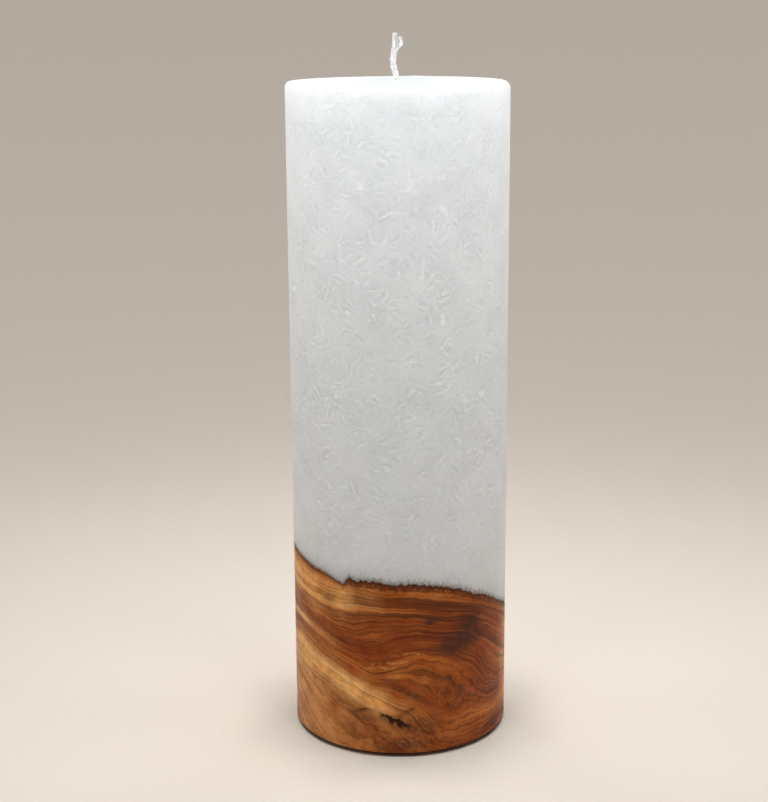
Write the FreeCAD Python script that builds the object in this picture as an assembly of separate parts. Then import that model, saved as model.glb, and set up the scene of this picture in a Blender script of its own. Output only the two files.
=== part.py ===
"""Unity candle: a round wax pillar cast onto a turned olive-wood foot.

The wood keeps the natural outer face of its branch as its top, so the joint between wax and
wood runs round the candle as an uneven line, high on the left and low on the right.
Inside, the wick stands in a high-collar steel tab that is nailed to a flat seat in the wood,
and three screws left standing out of the wood key the wax to it. A thin self-adhesive felt
disc is stuck under the foot.

Units are millimetres. The origin is the centre of the felt's underside, +Z is up, and the
candle is seen from -Y with +X to the right.
"""

import FreeCAD, Part
import math
import os

from FreeCAD import Vector

# ---- driving dimensions ----------------------------------------------------------------
candle_diameter = 76.0
candle_height = 229.0          # standing surface to the flat top of the wax
wax_rim_round = 2.0            # rounded upper rim

felt_diameter = 72.0
felt_thickness = 1.0
adhesive_thickness = 0.2
foot_chamfer = 0.6             # broken lower edge of the wood

# Height of the wood's natural edge on the outside of the candle, every 22.5 degrees,
# anticlockwise from +X.
live_edge_heights = [
    43.0, 41.0, 42.0, 46.0,
    51.5, 57.0, 62.0, 66.0,
    68.0, 66.8, 64.2, 64.0,
    63.0, 61.3, 56.5, 48.6,
]
live_edge_harmonics = 5
live_face_crown = 4.0          # how far the branch's face bulges above its edge in the middle
live_face_grid = 17            # points each way through which the face is drawn

seat_diameter = 22.0           # flat-bottomed hole that the wick tab stands in
seat_height = 54.0

tab_diameter = 20.0
tab_thickness = 0.4
collar_diameter = 3.2
collar_height = 12.7

wick_diameter = 2.2
# The wick runs straight up the middle, leans left as it leaves the wax, and turns back.
wick_route = [
    Vector(0.0, 0.0, seat_height),
    Vector(0.0, 0.0, 228.0),
    Vector(-1.8, 0.3, 236.3),
    Vector(-0.9, 0.0, 244.0),
]
bend_share = 0.45              # part of the shorter run that each bend takes up

brad_diameter = 1.2
brad_length = 12.0
brad_head_diameter = 2.6
brad_head_thickness = 0.5
brad_offset = 7.0              # from the candle's axis, one each side

screw_count = 3
screw_circle_radius = 24.0
screw_first_angle = 90.0
screw_depth_in_wood = 15.0
screw_standing_height = 10.0
screw_diameter = 3.0
screw_tip_length = 4.0
screw_head_diameter = 7.0
screw_head_height = 2.2
screw_recess_width = 0.9
screw_recess_span = 3.6
screw_recess_depth = 1.4

# ---- worked out ------------------------------------------------------------------------
radius = candle_diameter / 2
felt_bottom = 0.0
adhesive_bottom = felt_bottom + felt_thickness
wood_bottom = adhesive_bottom + adhesive_thickness
up = Vector(0, 0, 1)
tall = 2 * candle_height       # longer than anything that it cuts


def edge_waves():
    """Mean height of the live edge, and its cosine and sine waves, from the even heights."""
    count = len(live_edge_heights)
    mean = sum(live_edge_heights) / count
    waves = []
    for order in range(1, live_edge_harmonics + 1):
        turns = [order * 2 * math.pi * i / count for i in range(count)]
        cosine = 2 / count * sum(h * math.cos(t) for h, t in zip(live_edge_heights, turns))
        sine = 2 / count * sum(h * math.sin(t) for h, t in zip(live_edge_heights, turns))
        waves.append((order, cosine, sine))
    return mean, waves


edge_mean, edge_wave_list = edge_waves()


def live_face_height(x, y):
    """Height of the wood's natural face: the edge's waves, each dying away towards the middle
    like a stretched skin, plus a round crown that is nothing at the edge."""
    share = math.hypot(x, y) / radius
    angle = math.atan2(y, x)
    height = edge_mean + live_face_crown * (1 - share**2)
    for order, cosine, sine in edge_wave_list:
        height += share**order * (cosine * math.cos(order * angle) + sine * math.sin(order * angle))
    return height


def disc(diameter, bottom, thickness):
    return Part.makeCylinder(diameter / 2, thickness, Vector(0, 0, bottom), up)


def below_live_face():
    """Everything under the natural face: the face drawn through a square grid of heights, a
    little wider than the candle, and pushed straight down."""
    half = radius * 1.06
    steps = [-half + 2 * half * i / (live_face_grid - 1) for i in range(live_face_grid)]
    rows = [[Vector(x, y, live_face_height(x, y)) for y in steps] for x in steps]
    surface = Part.BSplineSurface()
    surface.interpolate(rows)
    return surface.toShape().extrude(Vector(0, 0, -tall))


def foot_blank():
    """Round blank of the candle's full diameter with its lower edge broken."""
    blank = Part.makeCylinder(radius, candle_height - wood_bottom, Vector(0, 0, wood_bottom), up)
    lower = [e for e in blank.Edges if e.BoundBox.ZMax < wood_bottom + 0.01]
    return blank.makeChamfer(foot_chamfer, lower)


def wick_tab():
    """Pressed steel disc with a tall collar that is crimped round the wick."""
    plate = disc(tab_diameter, seat_height, tab_thickness)
    collar = disc(collar_diameter, seat_height, tab_thickness + collar_height)
    tab = plate.fuse(collar).removeSplitter()
    bore = disc(wick_diameter, seat_height - 1, tab_thickness + collar_height + 2)
    return tab.cut(bore)


def bent_wire(points):
    """Straight runs joined by tangent arcs, each taking the same share of its shorter run."""
    edges = []
    start = points[0]
    for before, corner, after in zip(points, points[1:], points[2:]):
        incoming = (corner - before).normalize()
        outgoing = (after - corner).normalize()
        setback = bend_share * min((corner - before).Length, (after - corner).Length)
        half_turn = incoming.getAngle(outgoing) / 2
        bend_radius = setback / math.tan(half_turn)
        print("wick bend radius", round(bend_radius, 1))
        first = corner - incoming * setback
        last = corner + outgoing * setback
        inward = (outgoing - incoming).normalize()
        middle = corner + inward * (bend_radius / math.cos(half_turn) - bend_radius)
        edges.append(Part.LineSegment(start, first).toShape())
        edges.append(Part.Arc(first, middle, last).toShape())
        start = last
    edges.append(Part.LineSegment(start, points[-1]).toShape())
    return Part.Wire(edges)


def wick():
    """Braided cotton wick, plain and round here, from the tab to its free tip."""
    path = bent_wire(wick_route)
    section = Part.Wire(Part.makeCircle(wick_diameter / 2, wick_route[0], up))
    swept = path.makePipeShell([section], True, False)
    expected = math.pi * (wick_diameter / 2) ** 2 * path.Length
    print("wick length", round(path.Length, 1), "volume ratio", round(swept.Volume / expected, 4))
    return swept


def brad(x):
    """Small flat-headed nail through the tab into the wood, with a short pointed end."""
    head_bottom = seat_height + tab_thickness
    tip = brad_diameter
    head = Part.makeCylinder(brad_head_diameter / 2, brad_head_thickness, Vector(x, 0, head_bottom), up)
    shank = Part.makeCylinder(
        brad_diameter / 2, brad_length - tip, Vector(x, 0, head_bottom - brad_length + tip), up
    )
    point = Part.makeCone(0, brad_diameter / 2, tip, Vector(x, 0, head_bottom - brad_length), up)
    return head.fuse([shank, point]).removeSplitter()


def anchor_screw(angle):
    """Countersunk cross-head screw driven part of the way into the wood's natural face."""
    x = screw_circle_radius * math.cos(math.radians(angle))
    y = screw_circle_radius * math.sin(math.radians(angle))
    surface = live_face_height(x, y)
    tip = surface - screw_depth_in_wood
    top = surface + screw_standing_height
    shank_bottom = tip + screw_tip_length
    head_bottom = top - screw_head_height
    point = Part.makeCone(0, screw_diameter / 2, screw_tip_length, Vector(x, y, tip), up)
    shank = Part.makeCylinder(
        screw_diameter / 2, head_bottom - shank_bottom, Vector(x, y, shank_bottom), up
    )
    head = Part.makeCone(
        screw_diameter / 2, screw_head_diameter / 2, screw_head_height, Vector(x, y, head_bottom), up
    )
    screw = point.fuse([shank, head]).removeSplitter()
    slot = Part.makeBox(screw_recess_span, screw_recess_width, screw_recess_depth)
    slot.translate(
        Vector(x - screw_recess_span / 2, y - screw_recess_width / 2, top - screw_recess_depth)
    )
    crossed = slot.copy()
    crossed.rotate(Vector(x, y, 0), up, 90)
    return screw.cut(slot.fuse(crossed).removeSplitter())


def wood_foot(blank, under_face, fastenings):
    """Turned wood foot under its natural face, with the seat for the wick tab and a hole for
    each nail and screw."""
    foot = blank.common(under_face)
    seat = disc(seat_diameter, seat_height, tall)
    return foot.cut([seat, *fastenings])


def wax_pillar(blank, under_face, embedded):
    """Cast wax pillar: all of the blank above the wood, and whatever of the seat is left."""
    rim = [e for e in blank.Edges if e.BoundBox.ZMin > candle_height - 0.01]
    body = blank.makeFillet(wax_rim_round, rim)
    seat = disc(seat_diameter, seat_height, tall)
    return body.cut(under_face.cut(seat)).cut(embedded)


def export(name, shape):
    """Writes one node, after checking that it is valid closed solids."""
    solids = shape.Solids
    assert solids and shape.isValid(), name
    whole = solids[0] if len(solids) == 1 else Part.makeCompound(solids)
    whole.exportStep(f"parts/{name}.step")
    print(f"{name}: {len(solids)} solid(s), {shape.Volume / 1000:.2f} cm3")


os.makedirs("parts", exist_ok=True)

blank = foot_blank()
under_face = below_live_face()
tab = wick_tab()
wick_cord = wick()
brads = [brad(side * brad_offset) for side in (-1, 1)]
screws = [anchor_screw(screw_first_angle + 360 / screw_count * i) for i in range(screw_count)]

export("felt_pad", disc(felt_diameter, felt_bottom, felt_thickness))
export("pad_adhesive", disc(felt_diameter, adhesive_bottom, adhesive_thickness))
export("wood_foot", wood_foot(blank, under_face, [*brads, *screws]))
export("wax_pillar", wax_pillar(blank, under_face, [tab, wick_cord, *brads, *screws]))
export("wick_tab", tab.cut(brads))
export("tab_brads", Part.makeCompound(brads))
export("anchor_screws", Part.makeCompound(screws))
export("wick", wick_cord)
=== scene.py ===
"""Unity candle: the looks of a cast wax pillar on a foot of live-edge olive wood.

The pieces come in the order in which the candle is put together. Shapes are worked out in
millimetres and put into the meshes in metres. Angles run anticlockwise from +X, and the
candle is seen from -Y, so its front is at -90 degrees.
"""

import math

import bpy
import numpy as np
from mathutils import Matrix, Vector


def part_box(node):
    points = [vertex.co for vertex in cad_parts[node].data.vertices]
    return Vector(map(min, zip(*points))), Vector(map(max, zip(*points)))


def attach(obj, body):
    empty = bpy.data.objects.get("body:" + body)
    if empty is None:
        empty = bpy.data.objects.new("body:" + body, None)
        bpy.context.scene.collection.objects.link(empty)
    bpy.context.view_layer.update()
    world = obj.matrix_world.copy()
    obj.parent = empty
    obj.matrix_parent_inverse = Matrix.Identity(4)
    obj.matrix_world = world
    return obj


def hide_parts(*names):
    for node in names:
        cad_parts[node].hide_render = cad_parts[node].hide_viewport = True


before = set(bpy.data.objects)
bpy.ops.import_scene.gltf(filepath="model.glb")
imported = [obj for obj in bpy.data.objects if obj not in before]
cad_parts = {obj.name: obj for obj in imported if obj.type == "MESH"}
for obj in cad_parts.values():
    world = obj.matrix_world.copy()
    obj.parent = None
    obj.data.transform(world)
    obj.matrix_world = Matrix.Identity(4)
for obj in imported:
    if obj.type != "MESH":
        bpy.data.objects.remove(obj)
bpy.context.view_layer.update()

# ---- Wood foot --------------------------------------------------------------------------
# A length of olive branch, turned round and oiled. Its top is the natural outer face of the
# branch, so the edge rises and falls round the candle. A flat seat is bored in for the wick.
MM = 0.001
COLUMNS = 640

foot_low, foot_high = (np.array(corner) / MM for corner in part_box("wood_foot"))
wall_radius = foot_high[0]
foot_bottom = foot_low[2]
foot_chamfer = 0.6                 # broken lower edge
seat_radius = 11.0                 # bored seat for the wick tab
seat_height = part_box("wick_tab")[0].z / MM
crown = 4.0                        # how far the natural face bulges in its middle
front = -90.0                      # degrees

turn = np.linspace(-math.pi, math.pi, COLUMNS, endpoint=False)


def node_points(name):
    """All vertices of a CAD node, as rows of x, y and z in millimetres."""
    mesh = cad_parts[name].data
    flat = np.empty(len(mesh.vertices) * 3)
    mesh.vertices.foreach_get("co", flat)
    return flat.reshape(-1, 3) / MM


def wave_table(angle, orders=5):
    """Columns of one, then cosine and sine of 1, 2, ... times the angle."""
    steps = np.arange(1, orders + 1)
    turns = np.multiply.outer(np.asarray(angle, float), steps)
    return np.concatenate([np.ones(turns.shape[:-1] + (1,)), np.cos(turns), np.sin(turns)], -1)


# The corners of the CAD foot that lie on its upper edge, taken apart into a mean and waves.
corners = node_points("wood_foot")
on_edge = (np.hypot(corners[:, 0], corners[:, 1]) > wall_radius - 0.05) & (corners[:, 2] > 30)
edge_x, edge_y, edge_z = corners[on_edge].T
edge_waves = np.linalg.lstsq(wave_table(np.arctan2(edge_y, edge_x)), edge_z, rcond=None)[0]


def soft_edge(angle):
    """Height of the natural edge without its fine detail: a mean and five waves."""
    return wave_table(angle) @ edge_waves


def bell(value, width):
    """1 at zero, falling off on both sides as a bell."""
    return np.exp(-((value / width) ** 2))


def smooth_step(low, high, value):
    """0 below low, 1 above high, and an even S between them."""
    share = np.clip((value - low) / (high - low), 0.0, 1.0)
    return share * share * (3 - 2 * share)


def round_noise(angle, lowest, highest, seed):
    """Noise that closes round the candle: cosines of whole numbers of waves, with random
    starts, scaled so that its spread is about 1."""
    chance = np.random.default_rng(seed)
    amount = 40
    counts = chance.integers(lowest, highest, amount)
    starts = chance.uniform(0, 2 * math.pi, amount)
    waves = np.cos(np.multiply.outer(angle, counts) + starts)
    return waves.sum(-1) / math.sqrt(amount / 2)


def space_noise(points, length, seed):
    """Soft noise in space: 28 cosine waves of about the given length, each in a random
    direction, with a spread of about 1."""
    chance = np.random.default_rng(seed)
    amount = 28
    ways = chance.normal(size=(amount, 3))
    sizes = 2 * math.pi / length * chance.uniform(0.6, 1.5, amount)
    ways *= (sizes / np.linalg.norm(ways, axis=1))[:, None]
    starts = chance.uniform(0, 2 * math.pi, amount)
    return np.cos(points @ ways.T + starts).sum(-1) / math.sqrt(amount / 2)


def degrees_from(angle, middle):
    """Signed turn in degrees from a middle angle, the short way round."""
    return (np.degrees(angle) - middle + 180) % 360 - 180


notch_angle = -121.0               # where the bark face split, front left
notch_drop, notch_lip = 1.9, 0.5   # how low the edge is to its left, and how high to its right
right_dip_angle, right_dip_depth = -48.0, 1.1
smoothed_share = 0.70              # part of the raggedness that is missing left of the notch


def roughness(angle):
    """How ragged the edge is: almost smooth for a stretch to the left of the notch."""
    past = degrees_from(angle, notch_angle)
    return 1 - smoothed_share * smooth_step(3.0, -3.0, past) * smooth_step(-110.0, -80.0, past)


def live_edge(angle):
    """The natural edge: the soft edge, a sharp notch where the bark face split, two low
    places, and fibres that stand up unevenly except on the smooth left."""
    past = degrees_from(angle, notch_angle)
    torn = smooth_step(-0.2, 2.2, past)
    left_dip = notch_drop * bell(np.minimum(past, 0), 11.0) * (1 - torn)
    nick = 0.15 * np.clip(1 - np.abs(past + 0.5) / 1.3, 0, 1)
    lip = notch_lip * bell(past - 2.4, 3.0) * torn
    right_dip = right_dip_depth * bell(degrees_from(angle, right_dip_angle), 6.0)
    fibres = 0.20 * round_noise(angle, 40, 130, 3) + 0.13 * round_noise(angle, 150, 300, 4)
    slow = 0.18 * round_noise(angle, 8, 26, 5)
    return soft_edge(angle) - left_dip - nick + lip - right_dip + roughness(angle) * fibres + slow


def natural_face(share, angle):
    """Height of the wood's natural face: each wave of the edge dies away towards the middle
    like a stretched skin, over a low round crown. The fine detail fades just inside the edge."""
    orders = np.concatenate([[0], np.tile(np.arange(1, 6), 2)])
    fading = share[..., None] ** orders
    smooth = (wave_table(angle) * fading) @ edge_waves + crown * (1 - share**2)
    detail = (live_edge(angle) - soft_edge(angle)) * smooth_step(0.86, 1.0, share)
    return smooth + detail


def around(radius, height, angle=turn):
    """One row of points round the axis, or many rows where radius and height are tables."""
    radius, height = np.broadcast_arrays(radius * np.ones_like(angle), height)
    return np.stack([radius * np.cos(angle), radius * np.sin(angle), height], -1)


def flat_rows(table):
    """Rows as one list: the first and last row, shrunk to a point, give one entry each."""
    inner = table[1:-1].reshape((-1,) + table.shape[2:])
    return np.concatenate([table[:1, 0], inner, table[-1:, 0]])


def skin_faces(count, columns):
    """Corners of the four-sided faces between rows, and of the triangles that close the ends."""
    here = 1 + np.arange((count - 2) * columns).reshape(count - 2, columns)
    there = np.roll(here, -1, axis=1)
    last = (count - 2) * columns + 1
    walls = np.stack([here[:-1], there[:-1], there[1:], here[1:]], -1).reshape(-1, 4)
    ends = np.zeros(columns, int)
    lower = np.stack([ends, there[0], here[0]], -1)
    upper = np.stack([ends + last, here[-1], there[-1]], -1)
    return walls, np.concatenate([lower, upper])


def smooth_object(name, points, faces):
    """A smooth-shaded object in the scene from points in millimetres and lists of corners."""
    mesh = bpy.data.meshes.new(name)
    mesh.from_pydata((points * MM).tolist(), [], faces)
    mesh.shade_smooth()
    made = bpy.data.objects.new(name, mesh)
    bpy.context.scene.collection.objects.link(made)
    return made


def closed_skin(name, rows, **values):
    """A closed piece from rows of points that each go once round it, with the first and last
    rows shrunk to a point. values are numbers for each point, kept as attributes."""
    walls, ends = skin_faces(*rows.shape[:2])
    piece = smooth_object(name, flat_rows(rows), walls.tolist() + ends.tolist())
    for key, table in values.items():
        layer = piece.data.attributes.new(key, "FLOAT", "POINT")
        layer.data.foreach_set("value", flat_rows(table).astype(np.float32))
    return piece


# The grain: each line is one growth ring as it crosses the front of the foot, as millimetres
# round the wall from the front and height. Its number is its depth level, higher near the bark.
grain_lines = [
    (51.0, [(-28, 51), (-14, 51), (-2, 51), (13, 48), (31, 44)]),
    (43.0, [(-43, 46), (-23, 42), (-2, 43), (8, 45), (24, 42), (40, 31), (48, 25)]),
    (40.0, [(22, 38), (31, 32), (41, 24)]),
    (36.0, [(-11, 31), (0, 36), (5, 38), (12, 36), (22, 31), (32, 23)]),
    (33.0, [(12, 32), (20, 25), (30, 19), (38, 14)]),
    (31.0, [(-2, 30), (6, 26), (12, 20), (19, 12)]),
    (28.5, [(-44, 40), (-32, 35), (-22, 32), (-14, 29), (-4, 27)]),
    (26.5, [(-5, 25), (1, 23), (6, 20), (12, 14)]),
    (22.0, [(-52, 33), (-37, 31), (-26, 28), (-17, 25), (-9, 20), (0, 16), (8, 10)]),
    (17.5, [(-45, 29), (-35, 28), (-27, 26), (-20, 23), (-13, 18), (-6, 15), (0, 10)]),
    (13.0, [(-47, 25), (-41, 22), (-34, 19), (-27, 15), (-21, 11), (-14, 5)]),
    (8.0, [(-56, 19), (-50, 15), (-43, 12), (-37, 7), (-30, 2)]),
    (27.0, [(24, 11), (34, 10), (44, 12)]),
    (21.0, [(14, 3), (26, 2), (40, 3)]),
]
edge_level = 64.0                  # depth level of the live edge
back_angles = np.radians([0, 25, 50, 80, 110, 140, 165])
field_slack = 300.0                # how freely the field may miss a line, to stay smooth


def grain_anchors():
    """Known depth levels in space: the drawn lines on the front wall, the live edge itself,
    and lines that follow the edge round the back."""
    places, levels = [], []
    for level, line in grain_lines:
        arc, height = np.array(line, float).T
        places.append(around(wall_radius, height, arc / wall_radius + math.radians(front)))
        levels.append(np.full(len(line), level))
    edge_angles = np.radians(np.arange(-180, 180, 20.0))
    for depth in (0.0, 7.0):
        places.append(around(wall_radius, soft_edge(edge_angles) - depth, edge_angles))
        levels.append(np.full(len(edge_angles), edge_level - depth))
    for depth, level in ((20.0, 45.0), (38.0, 26.0)):
        wander = 3.0 * np.sin(3 * back_angles + depth)
        places.append(around(wall_radius, soft_edge(back_angles) - depth + wander, back_angles))
        levels.append(np.full(len(back_angles), level))
    return np.concatenate(places), np.concatenate(levels)


def ring_levels(points):
    """Depth level anywhere in the wood: the smoothest field through the anchors, made of the
    cube of the distance to each, plus a flat slope."""
    places, levels = grain_anchors()
    count = len(places)

    def cubes(these):
        return np.linalg.norm(these[:, None] - places[None], axis=-1) ** 3

    def slope(these):
        return np.column_stack([np.ones(len(these)), these])

    system = np.zeros((count + 4, count + 4))
    system[:count, :count] = cubes(places) + field_slack * np.eye(count)
    system[:count, count:] = slope(places)
    system[count:, :count] = slope(places).T
    weights = np.linalg.solve(system, np.concatenate([levels, np.zeros(4)]))
    flat = points.reshape(-1, 3)
    field = cubes(flat) @ weights[:count] + slope(flat) @ weights[count:]
    return field.reshape(points.shape[:-1])


def line_distance(arc, height, line):
    """Distance on the wall to a line of straight runs."""
    nearest = np.full(arc.shape, np.inf)
    for (from_arc, from_height), (to_arc, to_height) in zip(line, line[1:]):
        across, up = to_arc - from_arc, to_height - from_height
        past, over = arc - from_arc, height - from_height
        share = np.clip((past * across + over * up) / (across**2 + up**2), 0, 1)
        nearest = np.minimum(nearest, np.hypot(past - share * across, over - share * up))
    return nearest


def foot_rows():
    """The foot's skin from the middle of its underside, out, up the wall, and over the natural
    face to the middle of the seat."""
    edge = live_edge(turn)
    base_radius = wall_radius - foot_chamfer
    base = [around(share * base_radius, foot_bottom) for share in (0, 0.3, 0.6, 0.85, 1)]
    wall_from = foot_bottom + foot_chamfer
    steps = 1 - (1 - np.linspace(0, 1, 92)) ** 1.15
    heights = wall_from + np.multiply.outer(steps, edge - 0.35 - wall_from)
    wall = around(wall_radius, heights, np.broadcast_to(turn, heights.shape))
    lip = [around(wall_radius - 0.05, edge - 0.12), around(wall_radius - 0.22, edge)]
    face = []
    for share in np.linspace(0.985, seat_radius / wall_radius, 14):
        face.append(around(share * wall_radius, natural_face(np.full(COLUMNS, share), turn)))
    seat = [around(share * seat_radius, seat_height) for share in (1, 0.5, 0)]
    rows = np.concatenate([np.array(base), wall, np.array(lip), np.array(face), np.array(seat)])
    return rows, len(base), len(base) + len(wall)


rows, wall_start, wall_end = foot_rows()
levels = ring_levels(rows)
arc = np.radians(degrees_from(turn, front)) * wall_radius * np.ones(rows.shape[:2])
height = rows[..., 2]
under_edge = live_edge(turn) - height
wander = space_noise(rows, 9.0, 11)

# A short open crack low on the front, widest in its middle, with a hair crack arching over it.
crack_line = [(-7.5, 15.8), (-5.0, 14.4), (-2.0, 12.7), (1.0, 11.7), (4.5, 10.6)]
hair_crack_line = [(-17, 15.8), (-12.5, 17.2), (-8, 16.6), (-5, 14.6), (-1.5, 15), (4, 18)]
crack_width = 0.5 + 1.0 * bell(arc + 2.2, 4.2) + 0.30 * space_noise(rows, 2.0, 12)
crack_inside = crack_width * bell(arc + 1.0, 9.0) - line_distance(arc, height, crack_line)
hair_crack_inside = 0.25 - line_distance(arc, height, hair_crack_line)
crack_inside = np.maximum(crack_inside, hair_crack_inside)
crack = smooth_step(-0.5, 0.9, crack_inside)


def to_the_left(start, full, behind=0.35):
    """0 to the right of start, 1 to the left of full, and an even share behind the candle, so
    that both sides meet there."""
    seen = smooth_step(112.0, 66.0, np.abs(arc))
    return seen * smooth_step(start, full, arc) + behind * (1 - seen)


# Pale wood: sapwood under the edge, a golden band, a streak and the lowest corner on the left,
# short wisps in the middle, and a little at the right.
sapwood = bell(levels - 56.5, 5.0) * to_the_left(-2.0, -30.0, 0.6)
gold_band = 1.1 * bell(levels - 21.0, 4.6) * to_the_left(12.0, -18.0, 0.5)
streak = 0.55 * bell(levels - 38.5, 2.6) * to_the_left(-18.0, -44.0)
low_left = 0.25 * smooth_step(17.5, 13.0, levels) * to_the_left(-2.0, -16.0)
left_side = 0.10 * to_the_left(4.0, -40.0)
right_side = 0.45 * smooth_step(40.0, 56.0, arc) * smooth_step(80.0, 62.0, arc)
wisp_lines = (
    [(-13, 32.2), (-8, 33.0), (-2, 33.0)],
    [(-11, 34.0), (-4, 34.9), (2, 35.2)],
    [(-4, 37.2), (2, 38.4), (6, 38.2)],
)
fine = space_noise(rows, 3.0, 14)
wisps = sum(bell(line_distance(arc, height, line) + 0.12 * fine, 0.34) for line in wisp_lines)
wisps *= 0.6 * np.clip(0.6 + 0.5 * fine, 0, 1)
pale = sapwood + gold_band + streak + low_left + left_side + right_side + wisps
pale = np.clip(pale, 0, 1)
pale = np.clip(pale + 0.10 * wander * (0.3 + pale), 0, 1)


def spot(middle_arc, half_wide, middle_height, half_high):
    """A soft round or oval spot on the front wall."""
    return bell(arc - middle_arc, half_wide) * bell(height - middle_height, half_high)


slanted_stain = bell(0.56 * (arc - 2) + height - 24.0, 1.7) * bell(arc - 2.5, 9.0)
stain = (
    1.30 * spot(19, 7.0, 40.2, 4.0)
    + 1.15 * spot(26, 5.0, 46.5, 3.6)
    + 0.80 * spot(28, 5.0, 40.5, 2.2)
    + 0.85 * spot(10, 2.8, 49.5, 1.4)
    + 0.60 * spot(-13, 4.5, 14.0, 1.7)
    + 0.60 * spot(9, 5.0, 12.0, 3.0)
    + 0.80 * spot(1, 4.6, 4.5, 2.2)
    + 0.30 * spot(12, 24.0, 52.0, 7.0)
    + 0.95 * slanted_stain
)
knot = np.maximum(spot(3, 19.0, 8.5, 8.5), 0.8 * spot(22, 13.0, 19.0, 8.0))
pits = smooth_step(1.9, 2.6, space_noise(rows * [1, 1, 2.2], 2.6, 13))
pits *= smooth_step(7, 2, under_edge)

crack_depth, pit_depth = 1.1, 0.28
sunk = crack_depth * crack + pit_depth * pits + 0.05 * np.clip(wander, -1, 1)
on_wall = np.zeros(rows.shape[:2])
on_wall[wall_start:wall_end] = 1.0
outward = rows[..., :2] / np.maximum(np.hypot(rows[..., 0], rows[..., 1]), 1e-6)[..., None]
rows[..., :2] -= outward * np.clip(sunk * on_wall, 0, None)[..., None]

wood_foot = closed_skin(
    "wood_foot_live_edge",
    rows,
    ring=levels,
    under_edge=under_edge,
    pale=pale,
    stain=stain,
    crack=np.clip(crack_inside, -4, 2),
    ragged=roughness(turn) * np.ones(rows.shape[:2]),
    knot=knot,
)


def material(name):
    """A new node material, as its tree and its Principled shader."""
    made = bpy.data.materials.new(name)
    made.use_nodes = True
    return made, made.node_tree, made.node_tree.nodes["Principled BSDF"]


def add(tree, kind, inputs=None, **settings):
    """Adds a shader node. inputs gives each socket, by name or number, a value or a link."""
    made = tree.nodes.new("ShaderNode" + kind)
    for key, value in settings.items():
        setattr(made, key, value)
    for key, value in (inputs or {}).items():
        if isinstance(value, bpy.types.NodeSocket):
            tree.links.new(value, made.inputs[key])
        else:
            made.inputs[key].default_value = value
    return made


def maths(tree, operation, first, second=0.0, third=0.0, clamp=False):
    """One sum of numbers, such as ADD or MULTIPLY."""
    numbers = {0: first, 1: second, 2: third}
    return add(tree, "Math", numbers, operation=operation, use_clamp=clamp).outputs[0]


def vectors(tree, operation, first, second=(0, 0, 0)):
    """One sum of vectors; a dot product or a length comes out as a number."""
    made = add(tree, "VectorMath", {0: first, 1: second}, operation=operation)
    return made.outputs["Value" if operation in ("DOT_PRODUCT", "LENGTH") else "Vector"]


def scaled(tree, vector, factor):
    """A vector times a number, or times one number for each direction."""
    if isinstance(factor, tuple):
        return vectors(tree, "MULTIPLY", vector, factor)
    made = add(tree, "VectorMath", {0: vector, "Scale": factor}, operation="SCALE")
    return made.outputs["Vector"]


def noise(tree, vector, scale=1.0, detail=2.0, roughness=0.5, output="Fac"):
    """Soft noise, about 0.5 on average."""
    inputs = {"Vector": vector, "Scale": scale, "Detail": detail, "Roughness": roughness}
    return add(tree, "TexNoise", inputs).outputs[output]


def ramp(tree, factor, *stops):
    """Maps a number to a colour or a grey through (place, value) stops."""
    made = add(tree, "ValToRGB", {0: factor})
    band = made.color_ramp
    while len(band.elements) < len(stops):
        band.elements.new(0.5)
    for element, (place, value) in zip(band.elements, stops):
        element.position = place
        element.color = (*value, 1) if isinstance(value, tuple) else (value, value, value, 1)
    return made.outputs[0]


def blend(tree, factor, first, second, kind="MIX"):
    """Mixes two colours."""
    made = add(tree, "Mix", {0: factor}, data_type="RGBA", blend_type=kind)
    for place, value in ((6, first), (7, second)):
        if isinstance(value, bpy.types.NodeSocket):
            tree.links.new(value, made.inputs[place])
        else:
            made.inputs[place].default_value = (*value, 1)
    return made.outputs[2]


def laid_over(tree, colour, mask, strength, upper):
    """A colour with another laid over it where a mask is high."""
    return blend(tree, maths(tree, "MULTIPLY", mask, strength, clamp=True), colour, upper)


def kept(tree, name):
    """A number that was kept on the mesh."""
    return add(tree, "Attribute", attribute_name=name).outputs["Fac"]


def millimetres(tree):
    """Object coordinates in millimetres."""
    return scaled(tree, add(tree, "TexCoord").outputs["Object"], 1000.0)


def set_inputs(shader, values):
    """Sets the sockets that have one value all over the surface."""
    for key, value in values.items():
        shader.inputs[key].default_value = value


def raise_surface(tree, shader, height, strength, distance):
    """Fine relief from a pattern of heights, with its distance in millimetres."""
    bump = add(tree, "Bump", {"Strength": strength, "Distance": distance * MM, "Height": height})
    tree.links.new(bump.outputs[0], shader.inputs["Normal"])


heartwood = ((0.285, 0.051, 0.0050), (0.435, 0.093, 0.0092), (0.59, 0.163, 0.024))
sapwood_tan = ((0.96, 0.40, 0.100), (1.0, 0.590, 0.220))
knotty_brown = (0.35, 0.086, 0.015)
light_line = (0.66, 0.27, 0.075)
smoky_stain = (0.050, 0.0185, 0.0105)
pore_brown = (0.10, 0.034, 0.013)
scuffed = (0.64, 0.29, 0.11)
bark_brown = (0.075, 0.020, 0.0045)
crack_border_brown = (0.115, 0.034, 0.0095)
# The next colour is painted shade for the inside of the crack.
crack_painted_shade = (0.022, 0.009, 0.0045)


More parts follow.
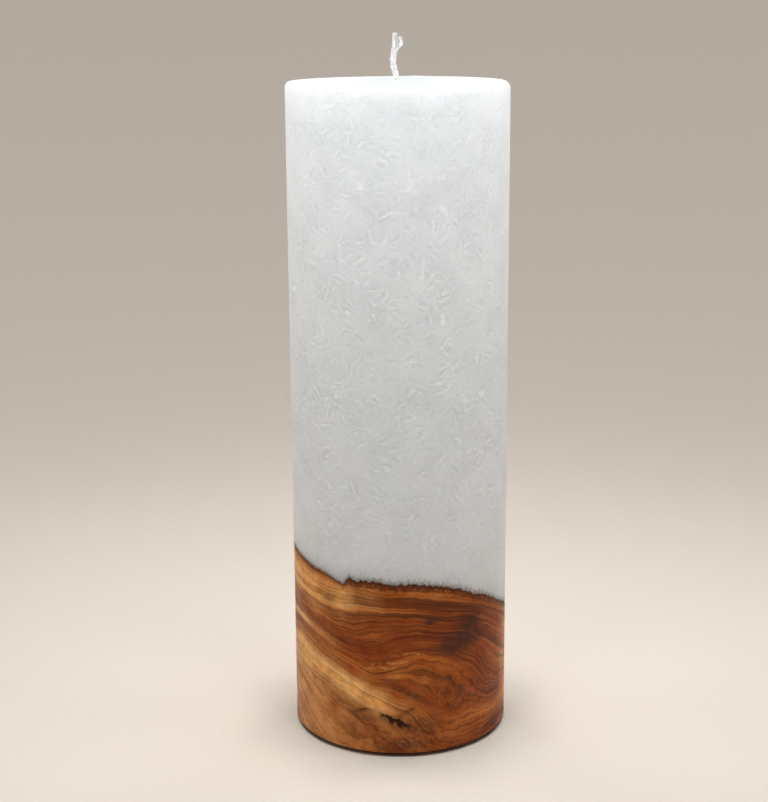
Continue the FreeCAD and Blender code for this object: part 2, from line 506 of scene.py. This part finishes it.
def olive_wood():
    """Oiled olive: growth rings on the depth level, fibres stretched along them, pale sapwood
    and a golden band, dark stains, and a crack with a dark border and painted shade inside it."""
    made, tree, shader = material("oiled_olive_wood")
    place = millimetres(tree)
    apart = add(tree, "SeparateXYZ", {0: place})
    knot_here = kept(tree, "knot")
    bend = maths(tree, "SUBTRACT", noise(tree, place, 0.055, 2), 0.5)
    curl = maths(tree, "SUBTRACT", noise(tree, place, 0.21, 3), 0.5)
    curl_size = maths(tree, "MULTIPLY_ADD", knot_here, 3.0, 1.5)
    level = maths(tree, "MULTIPLY_ADD", bend, 3.4, kept(tree, "ring"))
    level = maths(tree, "MULTIPLY_ADD", curl, curl_size, level)

    def along_grain(run, across):
        """Coordinates that are long along the rings and short across them."""
        x = maths(tree, "MULTIPLY", apart.outputs[0], 1 / run)
        y = maths(tree, "MULTIPLY", apart.outputs[1], 1 / run)
        depth = maths(tree, "MULTIPLY", level, 1 / across)
        return add(tree, "CombineXYZ", {0: x, 1: y, 2: depth}).outputs[0]

    # Patterns, from broad bands down to single fibres, and a mottle that ignores the grain.
    broad = noise(tree, along_grain(46, 5.0), 1, 2)
    rings = noise(tree, along_grain(60, 1.7), 1, 3, 0.6)
    lines = noise(tree, along_grain(34, 0.62), 1, 2, 0.5)
    fibre = noise(tree, along_grain(7.0, 0.24), 1, 2, 0.6)
    mottle = noise(tree, place, 0.5, 4, 0.62)

    dark, middle, light = heartwood
    heart = ramp(tree, broad, (0.36, dark), (0.50, middle), (0.64, light))
    tan = ramp(tree, broad, (0.36, sapwood_tan[0]), (0.62, sapwood_tan[1]))
    uneven = maths(tree, "MULTIPLY_ADD", rings, 1.4, 0.40)
    pale_here = maths(tree, "MULTIPLY", kept(tree, "pale"), uneven, clamp=True)
    colour = blend(tree, pale_here, heart, tan)
    colour = laid_over(tree, colour, knot_here, 0.55, knotty_brown)

    # Each pattern darkens the colour, less on pale wood and round the knot.
    ring_tone = ramp(
        tree, rings, (0.33, 0.34), (0.42, 0.62), (0.50, 0.92), (0.56, 1.0), (0.68, 0.82)
    )
    line_tone = ramp(tree, lines, (0.30, 0.30), (0.39, 0.68), (0.49, 1.0), (0.74, 1.0))
    fibre_tone = ramp(tree, fibre, (0.25, 0.60), (0.48, 0.92), (0.70, 1.0))
    mottle_tone = ramp(tree, mottle, (0.34, 0.42), (0.5, 0.90), (0.62, 1.0))
    for tone, strength in ((ring_tone, 0.95), (line_tone, 0.85), (fibre_tone, 0.7)):
        shown = maths(tree, "MULTIPLY_ADD", pale_here, -0.75 * strength, strength)
        shown = maths(tree, "MULTIPLY_ADD", knot_here, -0.30 * strength, shown, clamp=True)
        colour = blend(tree, shown, colour, tone, "MULTIPLY")
    mottle_shown = maths(tree, "MULTIPLY_ADD", knot_here, 0.5, 0.42)
    colour = blend(tree, mottle_shown, colour, mottle_tone, "MULTIPLY")

    light_lines = ramp(tree, lines, (0.60, 0.0), (0.72, 1.0))
    colour = laid_over(tree, colour, light_lines, 0.42, light_line)

    broken = maths(tree, "MULTIPLY_ADD", mottle, 2.8, -0.45)
    stain_here = maths(tree, "MULTIPLY", kept(tree, "stain"), broken, clamp=True)
    colour = laid_over(tree, colour, stain_here, 0.85, smoky_stain)

    pores = ramp(tree, noise(tree, along_grain(2.6, 0.20), 1, 1), (0.27, 1.0), (0.33, 0.0))
    colour = laid_over(tree, colour, pores, 0.5, pore_brown)

    # Short slanted scuffs round the knot.
    tilt = {"Vector": place, "Angle": 0.9}
    slanted = add(tree, "VectorRotate", tilt, rotation_type="Y_AXIS").outputs[0]
    scuffs = noise(tree, scaled(tree, slanted, (2.6, 2.6, 0.45)), 1, 2)
    scuffs = maths(tree, "MULTIPLY", ramp(tree, scuffs, (0.58, 0.0), (0.66, 1.0)), knot_here)
    colour = laid_over(tree, colour, scuffs, 0.40, scuffed)

    # Dark bark along the edge, reaching down unevenly where the edge is ragged.
    hairs = noise(tree, scaled(tree, place, (0.8, 0.8, 0.7)), 1, 5, 0.66)
    reach = maths(tree, "MULTIPLY_ADD", hairs, 8.0, -2.2)
    reach = maths(tree, "MULTIPLY", reach, kept(tree, "ragged"))
    within = maths(tree, "SUBTRACT", reach, kept(tree, "under_edge"))
    bark = maths(tree, "MULTIPLY_ADD", within, 0.40, 0.52, clamp=True)
    colour = laid_over(tree, colour, bark, 0.92, bark_brown)

    # The crack, painted near black inside as the shade in its depth, with a wider dark border.
    jagged = maths(tree, "SUBTRACT", mottle, 0.5)
    split = maths(tree, "MULTIPLY_ADD", jagged, 4.0, kept(tree, "crack"))
    border = maths(tree, "MULTIPLY_ADD", split, 0.45, 0.62, clamp=True)
    colour = laid_over(tree, colour, border, 0.70, crack_border_brown)
    crack_here = maths(tree, "MULTIPLY_ADD", split, 1.4, -0.10, clamp=True)
    colour = laid_over(tree, colour, crack_here, 0.90, crack_painted_shade)
    tree.links.new(colour, shader.inputs["Base Color"])

    dullness = maths(tree, "MULTIPLY_ADD", fibre, 0.20, 0.36)
    dullness = maths(tree, "MULTIPLY_ADD", crack_here, 0.35, dullness, clamp=True)
    tree.links.new(dullness, shader.inputs["Roughness"])
    set_inputs(shader, {"Specular IOR Level": 0.14})

    relief = maths(tree, "MULTIPLY_ADD", lines, 0.5, fibre)
    relief = maths(tree, "MULTIPLY_ADD", pores, -0.9, relief)
    raise_surface(tree, shader, relief, 0.35, 0.12)
    return made


wood_foot.data.materials.append(olive_wood())
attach(wood_foot, "root")
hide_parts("wood_foot")

# ---- Wick tab and its brads -------------------------------------------------------------
# A pressed tin-plated steel disc with a tall collar crimped round the wick. Two small bright
# brads nail it to the flat seat in the wood. Both keep their CAD shapes.


def plated_metal(name, dark, light, grain, roughness):
    """Plated steel with a fine cloudy surface and faint rubbing marks."""
    made, tree, shader = material(name)
    place = millimetres(tree)
    cloud = noise(tree, place, grain, 4, 0.6)
    rubbed = noise(tree, scaled(tree, place, (0.6, 0.6, 9.0)), 1, 3)
    tree.links.new(ramp(tree, cloud, (0.3, dark), (0.7, light)), shader.inputs["Base Color"])
    worn = maths(tree, "MULTIPLY_ADD", rubbed, 0.22, roughness)
    tree.links.new(worn, shader.inputs["Roughness"])
    set_inputs(shader, {"Metallic": 1.0})
    raise_surface(tree, shader, rubbed, 0.2, 0.03)
    return made


def repaint(node, finish):
    """Gives a CAD node that stays its own material."""
    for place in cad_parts[node].material_slots:
        place.material = finish


tin_dark, tin_light = (0.56, 0.57, 0.58), (0.72, 0.72, 0.71)
steel_dark, steel_light = (0.50, 0.51, 0.53), (0.68, 0.68, 0.69)
repaint("wick_tab", plated_metal("tin_plate", tin_dark, tin_light, 0.7, 0.24))
repaint("tab_brads", plated_metal("bright_steel", steel_dark, steel_light, 1.4, 0.18))

# ---- Anchor screws ----------------------------------------------------------------------
# Three zinc-plated countersunk screws, driven part of the way into the natural face and left
# standing, so that the wax grips them when it is poured. They keep their CAD shapes.
zinc_dark, zinc_light = (0.50, 0.51, 0.50), (0.70, 0.69, 0.62)
repaint("anchor_screws", plated_metal("zinc_plate", zinc_dark, zinc_light, 0.9, 0.30))

# ---- Wick -------------------------------------------------------------------------------
# Bleached cotton, braided from eight strands over a loose core. It stands straight up through
# the wax, leans left where it comes out, turns back, and frays into two tufts at its cut end.
wick_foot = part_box("wick")[0].z / MM
wax_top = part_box("wax_pillar")[1].z / MM
strand_radius, core_radius = 0.33, 0.50
strand_reach = 0.64                # from the wick's middle to a strand's middle
braid_pitch = 9.0                  # climb of one full turn of a strand
fray_from = wax_top + 9.6
# The wick's middle line: height, then how far it stands off the candle's axis in x and y.
wick_stations = [
    (wick_foot, 0.0, 0.0),
    (wax_top - 60, 0.0, 0.0),
    (wax_top - 3.0, 0.25, 0.0),
    (wax_top + 0.2, -0.1, 0.02),
    (wax_top + 3.1, -0.9, 0.10),
    (wax_top + 6.6, -1.45, 0.22),
    (wax_top + 9.2, -1.15, 0.20),
    (wax_top + 11.5, -0.75, 0.10),
    (wax_top + 15.6, -0.55, 0.0),
]


def through(stations, where):
    """A smooth line through stations: between two of them a cubic that leaves each one in the
    direction of its neighbours."""
    table = np.array(stations, float)
    key, values = table[:, 0], table[:, 1:]
    slopes = np.gradient(values, key, axis=0)
    index = np.clip(np.searchsorted(key, where) - 1, 0, len(key) - 2)
    gap = key[index + 1] - key[index]
    t = np.clip((where - key[index]) / gap, 0, 1)[..., None]
    gap = gap[..., None]
    return (
        (1 + 2 * t) * (1 - t) ** 2 * values[index]
        + t * (1 - t) ** 2 * gap * slopes[index]
        + t * t * (3 - 2 * t) * values[index + 1]
        + t * t * (t - 1) * gap * slopes[index + 1]
    )


def tube_rows(path, radius, sides):
    """Rows of a round tube along a path that mostly climbs: at each point a ring square to
    the path, with the two ends shrunk to points."""
    ahead = np.gradient(path, axis=0)
    ahead /= np.linalg.norm(ahead, axis=1, keepdims=True)
    first = np.cross(ahead, [0.0, 1.0, 0.0])
    first /= np.linalg.norm(first, axis=1, keepdims=True)
    second = np.cross(ahead, first)
    turns = np.linspace(0, 2 * math.pi, sides, endpoint=False)
    cosine, sine = np.cos(turns)[None, :, None], np.sin(turns)[None, :, None]
    ring = cosine * first[:, None] + sine * second[:, None]
    rows = path[:, None] + radius[:, None, None] * ring
    start = np.repeat(path[:1, None], sides, axis=1)
    end = np.repeat(path[-1:, None], sides, axis=1)
    return np.concatenate([start, rows, end])


def joined_tubes(name, tubes):
    """One piece from many closed tubes, each the rows of a closed skin."""
    points, faces, start = [], [], 0
    for rows in tubes:
        points.append(flat_rows(rows))
        for corners in skin_faces(*rows.shape[:2]):
            faces += (corners + start).tolist()
        start += len(points[-1])
    return smooth_object(name, np.concatenate(points), faces)


strand_count, left_strands = 8, 5  # the first five end in the left tuft
left_tuft_top, right_tuft_top = 15.4, 14.2


def braid_strand(number, climb):
    """Middle line of one braid strand: it winds round the wick, four one way and four the
    other, and swings in and out so that it goes over one strand and under the next. Past the
    fray it runs out into the left or the right tuft."""
    way = 1 if number % 2 == 0 else -1
    angle = way * 2 * math.pi * climb / braid_pitch + (number // 2) * math.pi / 2
    reach = strand_reach + way * 0.13 * np.cos(4 * angle)
    offset = np.stack([reach * np.cos(angle), reach * np.sin(angle)], -1)
    flat = through(wick_stations, climb) + offset
    open_share = smooth_step(fray_from, wax_top + 12.0, climb)[:, None]
    chance = np.random.default_rng(60 + number)
    tuft_x = -0.85 if number < left_strands else 1.05
    goal_x = tuft_x + chance.uniform(-0.45, 0.45)
    goal_y = chance.uniform(-0.5, 0.5)
    flat += open_share * (np.array([goal_x, goal_y]) - flat)
    return np.column_stack([flat, climb])


tubes = []
for number in range(strand_count):
    chance = np.random.default_rng(80 + number)
    tuft_top = left_tuft_top if number < left_strands else right_tuft_top
    end = wax_top + tuft_top - chance.uniform(0, 1.1)
    climb = np.linspace(wick_foot + 0.05, end, 330)
    swollen = 0.25 * bell(climb - wax_top - 11.6, 1.6)
    thinned = 0.6 * smooth_step(fray_from + 3.0, end, climb)
    thickness = strand_radius * (1 + swollen - thinned)
    tubes.append(tube_rows(braid_strand(number, climb), thickness, 8))
core_climb = np.linspace(wick_foot + 0.05, wax_top + 11.0, 150)
core_path = np.column_stack([through(wick_stations, core_climb), core_climb])
tubes.append(tube_rows(core_path, np.full(len(core_climb), core_radius), 8))

# Loose fibres: each group has its own top above the wax, sideways goal, and spread.
fibre_groups = [(15.9, -0.85, 0.36)] * 6 + [(14.7, 1.10, 0.36)] * 4 + [(13.3, 0.15, 0.55)] * 4
fibre_count, fibre_radius = 154, 0.10
hair_count, hair_radius = 46, 0.03
chance = np.random.default_rng(7)
for number in range(fibre_count):
    top, goal_x, spread = fibre_groups[number % len(fibre_groups)]
    start = chance.uniform(fray_from - 0.5, wax_top + 11.2)
    end = wax_top + top - abs(chance.normal(0, 0.8))
    climb = np.linspace(start, max(end, start + 1.2), 12)
    share = (climb - start) / (climb[-1] - start)
    root = through(wick_stations, np.array([start]))[0] + chance.normal(0, 0.35, 2)
    goal = np.array([goal_x, 0.0]) + chance.normal(0, 1, 2) * [spread, 0.4]
    sway = chance.normal(0, 0.12, 2)
    flat = root + np.multiply.outer(share**0.8, goal - root)
    flat += np.multiply.outer(np.sin(3 * share), sway)
    thickness = fibre_radius * (1 - 0.6 * share)
    tubes.append(tube_rows(np.column_stack([flat, climb]), thickness, 5))

# Short hairs that stand off the braid.
for number in range(hair_count):
    start = chance.uniform(wax_top + 0.5, fray_from + 1.0)
    angle = chance.uniform(0, 2 * math.pi)
    root = through(wick_stations, np.array([start]))[0]
    share = np.linspace(0, 1, 7)
    reach = 0.75 + share * chance.uniform(0.25, 0.75)
    rise = start + share * chance.uniform(0.2, 1.1)
    flat = root + np.multiply.outer(reach, [math.cos(angle), math.sin(angle)])
    flat += np.multiply.outer(share**2, chance.normal(0, 0.2, 2))
    thickness = hair_radius * (1 - 0.6 * share)
    tubes.append(tube_rows(np.column_stack([flat, rise]), thickness, 4))
wick = joined_tubes("braided_wick", tubes)

cotton_shade, cotton_white = (0.82, 0.81, 0.78), (0.95, 0.945, 0.93)
cotton_cream = (0.90, 0.885, 0.84)


def bleached_cotton():
    """White cotton with fine twisted yarns and a soft sheen."""
    made, tree, shader = material("bleached_cotton")
    place = millimetres(tree)
    yarn = noise(tree, scaled(tree, place, (5.0, 5.0, 1.6)), 1, 3, 0.6)
    cloud = noise(tree, place, 0.35, 2)
    colour = ramp(tree, yarn, (0.28, cotton_shade), (0.55, cotton_white))
    colour = laid_over(tree, colour, cloud, 0.20, cotton_cream)
    tree.links.new(colour, shader.inputs["Base Color"])
    set_inputs(
        shader,
        {
            "Roughness": 0.85,
            "Specular IOR Level": 0.25,
            "Subsurface Weight": 0.5,
            "Subsurface Radius": (1.0, 1.0, 1.0),
            "Subsurface Scale": 1.2 * MM,
            "Sheen Weight": 0.35,
            "Sheen Roughness": 0.5,
        },
    )
    raise_surface(tree, shader, yarn, 0.5, 0.08)
    return made


wick.data.materials.append(bleached_cotton())
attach(wick, "root")
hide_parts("wick")

# ---- Wax pillar -------------------------------------------------------------------------
# Stearin-rich wax, poured onto the wood in a round mould and left to cool slowly, so that
# thin flat crystals show all through it. Its top was levelled and its rim rubbed round.
rim_left, rim_right = 1.8, 2.8     # rounding of the upper rim
top_dish = 0.16                    # how far the top sinks in its middle
hump_height, meniscus_height = 0.34, 0.55
wave_depth = 0.12                  # deepest place of the uneven wall


def pillar_rows():
    """The wax's skin from the seat in the wood, out under it along the natural face, up the
    wall, round the rim and back over the gently uneven top to the wick."""
    edge = live_edge(turn)
    under = [around(reach, seat_height) for reach in (0, seat_radius * 0.6, seat_radius - 0.1)]
    for share in np.linspace(seat_radius / wall_radius, 0.985, 12):
        face = natural_face(np.full(COLUMNS, share), turn) + 0.02
        under.append(around(share * wall_radius, face))
    joint = [around(wall_radius - 0.20, edge + 0.03), around(wall_radius - 0.05, edge + 0.16)]

    rim = 0.5 * (rim_left + rim_right) + 0.5 * (rim_right - rim_left) * np.cos(turn)
    wall_top = wax_top - rim
    steps = np.concatenate([np.linspace(0, 0.03, 9), np.linspace(0.05, 1, 38)])
    heights = (edge + 0.35) + np.multiply.outer(steps, wall_top - edge - 0.35)
    wall = around(wall_radius, heights, np.broadcast_to(turn, heights.shape))
    uneven = np.clip(0.05 * space_noise(wall * [1, 1, 0.4], 34.0, 21), -wave_depth, 0.0)
    uneven *= smooth_step(0, 4, heights - edge) * smooth_step(0, 4, wall_top - heights + 1.0)
    wall[..., :2] *= (1 + uneven / wall_radius)[..., None]

    rounded = []
    for bend in np.linspace(0, math.pi / 2, 10)[1:]:
        reach = wall_radius - rim + rim * math.cos(bend)
        rounded.append(around(reach, wall_top + rim * math.sin(bend)))

    shares = np.concatenate([np.linspace(0.97, 0.12, 26), np.linspace(0.09, 0.0, 5)])
    flat_top = np.full(COLUMNS, wax_top)
    top = np.array([around(share * (wall_radius - rim), flat_top) for share in shares])
    x, y = top[..., 0], top[..., 1]
    from_axis = np.hypot(x, y)
    dish = -top_dish * (1 - (from_axis / wall_radius) ** 2) + 0.05 * space_noise(top, 17.0, 22)
    hump = hump_height * bell(x - 6.5, 3.4) * bell(y - 29.0, 7.0)
    meniscus = meniscus_height * np.exp(-np.clip(from_axis - 1.0, 0, None) / 0.7)
    top[..., 2] += dish * smooth_step(36, 30, from_axis) + hump + meniscus
    return np.concatenate([np.array(under), np.array(joint), wall, np.array(rounded), top])


rows = pillar_rows()
wax_pillar = closed_skin(
    "cast_wax_pillar",
    rows,
    over_edge=rows[..., 2] - live_edge(turn),
    ragged=roughness(turn) * np.ones(rows.shape[:2]),
)

wax_shade, wax_light = (0.685, 0.722, 0.748), (0.765, 0.800, 0.825)
frost_white = (0.80, 0.845, 0.875)
gap_grey = (0.54, 0.58, 0.61)
crystal_white = (0.915, 0.960, 0.990)
fibre_in_wax = (0.250, 0.165, 0.120)
# The next colour is painted shade, laid on the wax where it sits on the wood.
painted_joint_shade = (0.30, 0.21, 0.16)


def crystal_wax():
    """Stearin wax: cloudy and frosted, with thin plates of crystal that each lie their own way,
    and wood fibres that stand up into the lowest few millimetres."""
    made, tree, shader = material("crystal_wax")
    place = millimetres(tree)
    cloud = noise(tree, place, 0.085, 3, 0.55)
    warp = noise(tree, place, 0.20, 3, 0.55, "Color")
    warp = vectors(tree, "SUBTRACT", warp, (0.5, 0.5, 0.5))
    bent = vectors(tree, "ADD", place, scaled(tree, warp, 4.4))

    def plates(cell, gap, half):
        """Crystals as stacks of thin flat plates: space is split into cells, each with its own
        direction, and a few even planes across that direction fade out towards the cell's
        border. Gives the bright planes and the darker gaps between them."""
        cells = add(tree, "TexVoronoi", {"Vector": bent, "Scale": 1 / cell})
        own = cells.outputs["Color"]
        way = scaled(tree, vectors(tree, "SUBTRACT", own, (0.5, 0.5, 0.5)), (1.0, 1.0, 1.7))
        way = vectors(tree, "NORMALIZE", way)
        inside = vectors(tree, "SUBTRACT", bent, cells.outputs["Position"])
        folded = maths(tree, "PINGPONG", vectors(tree, "DOT_PRODUCT", inside, way), gap)
        draw = add(tree, "SeparateXYZ", {0: own}).outputs[0]
        chosen = ramp(tree, draw, (0.22, 0.0), (0.62, 1.0))
        fade = ramp(tree, cells.outputs["Distance"], (0.30, 1.0), (0.68, 0.0))
        there = maths(tree, "MULTIPLY", chosen, fade)
        line = ramp(tree, folded, (0.0, 1.0), (half, 0.0))
        between = ramp(tree, folded, (gap - 1.6 * half, 0.0), (gap, 1.0))
        return maths(tree, "MULTIPLY", line, there), maths(tree, "MULTIPLY", between, there)

    large, large_gaps = plates(3.9, 1.10, 0.34)
    small, small_gaps = plates(2.4, 0.70, 0.26)
    patches = ramp(tree, noise(tree, place, 0.16, 2), (0.38, 0.40), (0.56, 1.0))
    crystal = maths(tree, "MULTIPLY", maths(tree, "MULTIPLY_ADD", small, 0.75, large), patches)
    gaps = maths(tree, "MULTIPLY_ADD", small_gaps, 0.6, large_gaps)
    gaps = maths(tree, "MULTIPLY", gaps, patches)

    # The crystals show most in the lower half of the wall, and little by the wood and the top.
    over = kept(tree, "over_edge")
    up_the_wall = maths(tree, "MULTIPLY", over, 1 / 160)
    clear = ramp(
        tree, up_the_wall, (0.0, 0.30), (0.12, 0.74), (0.36, 1.0), (0.64, 0.90), (0.90, 0.66)
    )
    crystal = maths(tree, "MULTIPLY", crystal, clear)
    gaps = maths(tree, "MULTIPLY", gaps, clear)
    frost = ramp(tree, noise(tree, bent, 0.7, 4, 0.66), (0.38, 0.0), (0.62, 1.0))

    colour = ramp(tree, cloud, (0.34, wax_shade), (0.66, wax_light))
    colour = laid_over(tree, colour, frost, 0.50, frost_white)
    colour = laid_over(tree, colour, gaps, 0.42, gap_grey)
    colour = laid_over(tree, colour, crystal, 0.86, crystal_white)

    # Fibres stand up from the edge where it is ragged, and painted shade darkens the wax in the
    # lowest two millimetres over the wood.
    hairs = noise(tree, scaled(tree, place, (1.4, 1.4, 0.75)), 1, 4, 0.66)
    rise = maths(tree, "MULTIPLY_ADD", hairs, 10.0, -3.6)
    rise = maths(tree, "MULTIPLY", rise, kept(tree, "ragged"))
    stand = maths(tree, "MULTIPLY_ADD", maths(tree, "SUBTRACT", rise, over), 0.32, 0.22, clamp=True)
    colour = laid_over(tree, colour, stand, 0.72, fibre_in_wax)
    # Painted shade: the wax is darkened where it sits on the wood, fading out about 1.7 mm above
    # the edge.
    shade = maths(tree, "MULTIPLY_ADD", over, -0.45, 0.75, clamp=True)
    colour = laid_over(tree, colour, shade, 0.45, painted_joint_shade)
    tree.links.new(colour, shader.inputs["Base Color"])

    dullness = maths(tree, "MULTIPLY_ADD", crystal, -0.05, 0.50)
    tree.links.new(dullness, shader.inputs["Roughness"])
    set_inputs(
        shader,
        {
            "Subsurface Weight": 0.85,
            "Subsurface Radius": (1.0, 0.92, 0.86),
            "Subsurface Scale": 18 * MM,
            "Specular IOR Level": 0.38,
        },
    )
    raise_surface(tree, shader, crystal, 0.6, 0.2)
    return made


wax_pillar.data.materials.append(crystal_wax())
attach(wax_pillar, "root")
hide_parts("wax_pillar")

# ---- Felt pad and its adhesive ----------------------------------------------------------
# A thin brown felt disc on a film of clear adhesive, a little smaller than the foot, so that
# it stands in its shadow. Its colour is painted almost black, as painted shadow under the
# foot's edge. The film keeps its CAD shape.
felt_low, felt_high = (np.array(corner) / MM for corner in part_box("felt_pad"))
felt_radius, felt_top = felt_high[0], felt_high[2]


def felt_rows():
    """A flat disc with a soft, slightly ragged rim."""
    ragged = 0.10 * round_noise(turn, 30, 120, 31) + 0.07 * round_noise(turn, 120, 300, 32)
    rim = felt_radius - 0.25 + np.clip(ragged, -0.4, 0.25)
    rows = [around(share * felt_radius, felt_low[2]) for share in (0, 0.4, 0.8)]
    for side in np.linspace(-math.pi / 2, math.pi / 2, 9):
        lift = 0.5 * felt_top * (1 + math.sin(side))
        rows.append(around(rim - 0.30 * (1 - math.cos(side)), lift))
    rows += [around(share * felt_radius, felt_top) for share in (0.8, 0.4, 0)]
    return np.array(rows)


felt_pad = closed_skin("felt_disc", felt_rows())

# Painted shadow: the felt's tones are almost black, standing in for the shadow under the foot.
felt_shadow_dark, felt_shadow_brown = (0.010, 0.005, 0.003), (0.030, 0.016, 0.010)
felt_shadow_light = (0.055, 0.034, 0.024)


def felt_painted_shadow():
    """Brown wool felt, painted almost black as shadow: matted fibres with a soft sheen."""
    made, tree, shader = material("felt_painted_shadow")
    place = millimetres(tree)
    warp = scaled(tree, noise(tree, place, 0.9, 2, output="Color"), 1.6)
    matted = noise(tree, vectors(tree, "ADD", place, warp), 3.2, 4, 0.65)
    colour = ramp(tree, matted, (0.30, felt_shadow_dark), (0.62, felt_shadow_brown), (0.8, felt_shadow_light))
    tree.links.new(colour, shader.inputs["Base Color"])
    dull = {"Roughness": 0.95, "Specular IOR Level": 0.15}
    set_inputs(shader, {**dull, "Sheen Weight": 0.08, "Sheen Roughness": 0.6})
    raise_surface(tree, shader, matted, 0.7, 0.2)
    return made


felt_pad.data.materials.append(felt_painted_shadow())
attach(felt_pad, "root")
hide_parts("felt_pad")


def adhesive_film():
    """Clear acrylic adhesive, slightly yellow, with trapped bubbles."""
    made, tree, shader = material("adhesive_film")
    place = millimetres(tree)
    bubbles = noise(tree, place, 0.8, 3)
    colour = ramp(tree, bubbles, (0.35, (0.42, 0.36, 0.24)), (0.65, (0.58, 0.52, 0.38)))
    tree.links.new(colour, shader.inputs["Base Color"])
    set_inputs(shader, {"Roughness": 0.30})
    raise_surface(tree, shader, bubbles, 0.3, 0.05)
    return made


repaint("pad_adhesive", adhesive_film())

# ---- Room, lights and camera ------------------------------------------------------------
# A plain pale floor of paper that curves up into a wall all round, a ring of eight small soft
# lights above the candle, and one high light that reaches the room alone. The camera looks
# slightly down on the candle.
floor_reach, bend_size, wall_height = 900.0, 3200.0, 100.0
room_columns = 96


def room_rows():
    """A flat floor, a quarter-round bend and a wall, turned round the candle."""
    flat = np.linspace(0, floor_reach, 24)
    bend = np.linspace(0, math.pi / 2, 24)[1:]
    wall_reach = floor_reach + bend_size
    radius = np.concatenate([flat, floor_reach + bend_size * np.sin(bend), [wall_reach]])
    height = np.concatenate([0 * flat, bend_size * (1 - np.cos(bend)), [bend_size + wall_height]])
    angle = np.linspace(-math.pi, math.pi, room_columns, endpoint=False)
    return around(radius[:, None], height[:, None], np.tile(angle, (len(radius), 1)))


def open_skin(name, rows):
    """A sheet from rows of points that each go once round, open at its last row."""
    count, columns = rows.shape[:2]
    here = np.arange(count * columns).reshape(count, columns)
    there = np.roll(here, -1, axis=1)
    faces = np.stack([here[:-1], here[1:], there[1:], there[:-1]], -1).reshape(-1, 4)
    return smooth_object(name, rows.reshape(-1, 3), faces.tolist())


def pale_paper():
    """Plain warm white paper with hardly any grain."""
    made, tree, shader = material("pale_floor_paper")
    grain = noise(tree, millimetres(tree), 0.6, 3)
    colour = ramp(tree, grain, (0.3, (0.400, 0.358, 0.314)), (0.7, (0.414, 0.371, 0.326)))
    tree.links.new(colour, shader.inputs["Base Color"])
    set_inputs(shader, {"Roughness": 0.85, "Specular IOR Level": 0.2})
    return made


room = open_skin("pale_floor", room_rows())
room.data.materials.append(pale_paper())


def soft_light(name, place, aim, size, power, colour):
    """A square soft light at a place in millimetres, turned to face its aim and itself out of
    the camera's sight. Its power is in watts."""
    lamp = bpy.data.lights.new(name, "AREA")
    lamp.shape = "SQUARE"
    lamp.size = size * MM
    lamp.energy = power
    lamp.color = colour
    holder = bpy.data.objects.new(name, lamp)
    holder.location = Vector(place) * MM
    holder.rotation_euler = (Vector(aim) - Vector(place)).to_track_quat("-Z", "Y").to_euler()
    holder.visible_camera = False
    bpy.context.scene.collection.objects.link(holder)
    return holder


halo_count, halo_radius, halo_height = 8, 190, 328
halo_size, halo_power, halo_colour = 84, 0.145, (0.955, 0.980, 1.0)
for number in range(halo_count):
    way = 2 * math.pi * (number + 0.5) / halo_count
    place = (halo_radius * math.cos(way), halo_radius * math.sin(way), halo_height)
    soft_light(f"halo_{number}", place, (0, 0, 200), halo_size, halo_power, halo_colour)

# The high light evens out the floor and the wall, and would burn out the candle's top.
room_only = bpy.data.collections.new("room_only")
room_only.objects.link(room)
high = soft_light("ceiling", (0, 0, 5000), (0, 0, 0), 1000, 270.0, (1.0, 1.0, 1.0))
high.light_linking.receiver_collection = room_only

surround = bpy.data.worlds.new("pale_surround")
surround.use_nodes = True
sky = surround.node_tree.nodes["Background"]
set_inputs(sky, {"Color": (0.985, 0.992, 1.0, 1), "Strength": 0.04})
bpy.context.scene.world = surround
bpy.context.scene.view_settings.view_transform = "Standard"

camera_place = (-5.3, -561.9, 254.2)
look_down, camera_roll = 13.62, -0.4   # degrees
camera_data = bpy.data.cameras.new("camera")
camera_data.lens = 73.6
camera_data.sensor_width = 36.0
camera = bpy.data.objects.new("camera", camera_data)
camera.matrix_world = (
    Matrix.Translation(Vector(camera_place) * MM)
    @ Matrix.Rotation(math.radians(90 - look_down), 4, "X")
    @ Matrix.Rotation(math.radians(camera_roll), 4, "Z")
)
bpy.context.scene.collection.objects.link(camera)
bpy.context.scene.camera = camera
